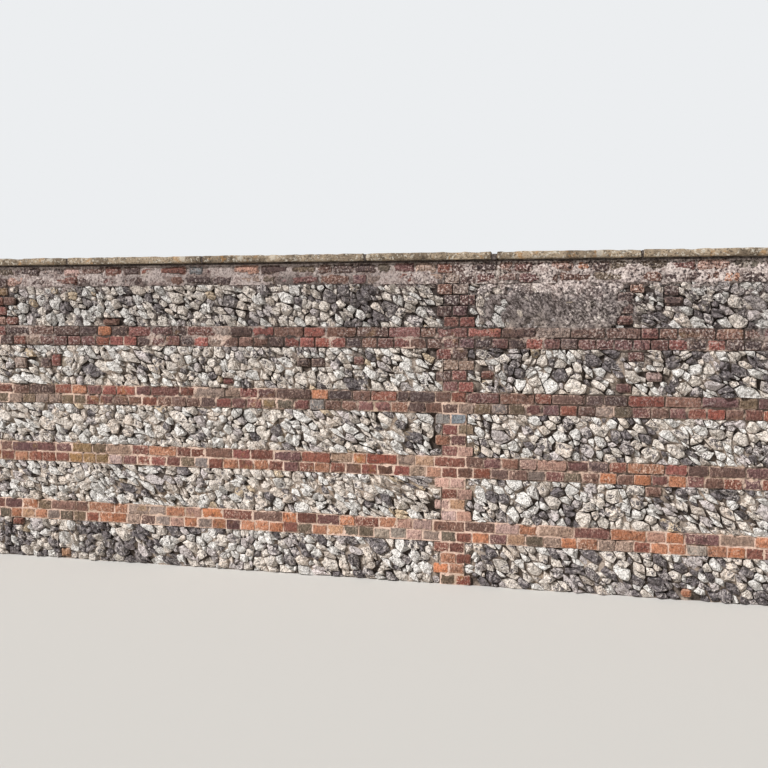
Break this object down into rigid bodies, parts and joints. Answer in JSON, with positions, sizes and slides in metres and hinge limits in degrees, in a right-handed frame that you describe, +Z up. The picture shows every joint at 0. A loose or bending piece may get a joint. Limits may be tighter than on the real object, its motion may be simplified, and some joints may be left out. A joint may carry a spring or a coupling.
{
  "type": "brick and flint garden wall",
  "caption": "Free-standing garden wall in bays: coursed flint panels laced with double brick courses, bonded to toothed brick piers under a flat slab coping.",
  "frame": {"origin": "on the ground under the middle of the wall, on the centre pier's centre line and midway through its thickness", "axes": "+X along the wall, to the right as seen from the pictured side; +Y through the wall, away from the pictured side; +Z up"},
  "size_m": [7.889, 0.398, 2.317],
  "materials": {
    "brickwork": "weathered red and brown clay brick in lime mortar",
    "flint_and_mortar": "rough white and grey flint in lime mortar",
    "coping_stone": "weathered cast stone with lichen",
    "lime_mortar": "sandy lime mortar"
  },
  "bodies": {
    "root": {"coping_bed": "lime_mortar", "coping_slab_1": "coping_stone", "coping_slab_2": "coping_stone", "coping_slab_3": "coping_stone", "coping_slab_4": "coping_stone", "coping_slab_5": "coping_stone", "coping_slab_6": "coping_stone", "coping_slab_7": "coping_stone", "coping_slab_8": "coping_stone", "flint_panel_left_1": "flint_and_mortar", "flint_panel_left_2": "flint_and_mortar", "flint_panel_left_3": "flint_and_mortar", "flint_panel_left_4": "flint_and_mortar", "flint_panel_left_5": "flint_and_mortar", "flint_panel_right_1": "flint_and_mortar", "flint_panel_right_2": "flint_and_mortar", "flint_panel_right_3": "flint_and_mortar", "flint_panel_right_4": "flint_and_mortar", "flint_panel_right_5": "flint_and_mortar", "lacing_course_left_1": "brickwork", "lacing_course_left_2": "brickwork", "lacing_course_left_3": "brickwork", "lacing_course_left_4": "brickwork", "lacing_course_right_1": "brickwork", "lacing_course_right_2": "brickwork", "lacing_course_right_3": "brickwork", "lacing_course_right_4": "brickwork", "pier_centre": "brickwork", "pier_left": "brickwork", "pier_right": "brickwork", "top_courses_left": "brickwork", "top_courses_right": "brickwork"}
  },
  "joints": []
}
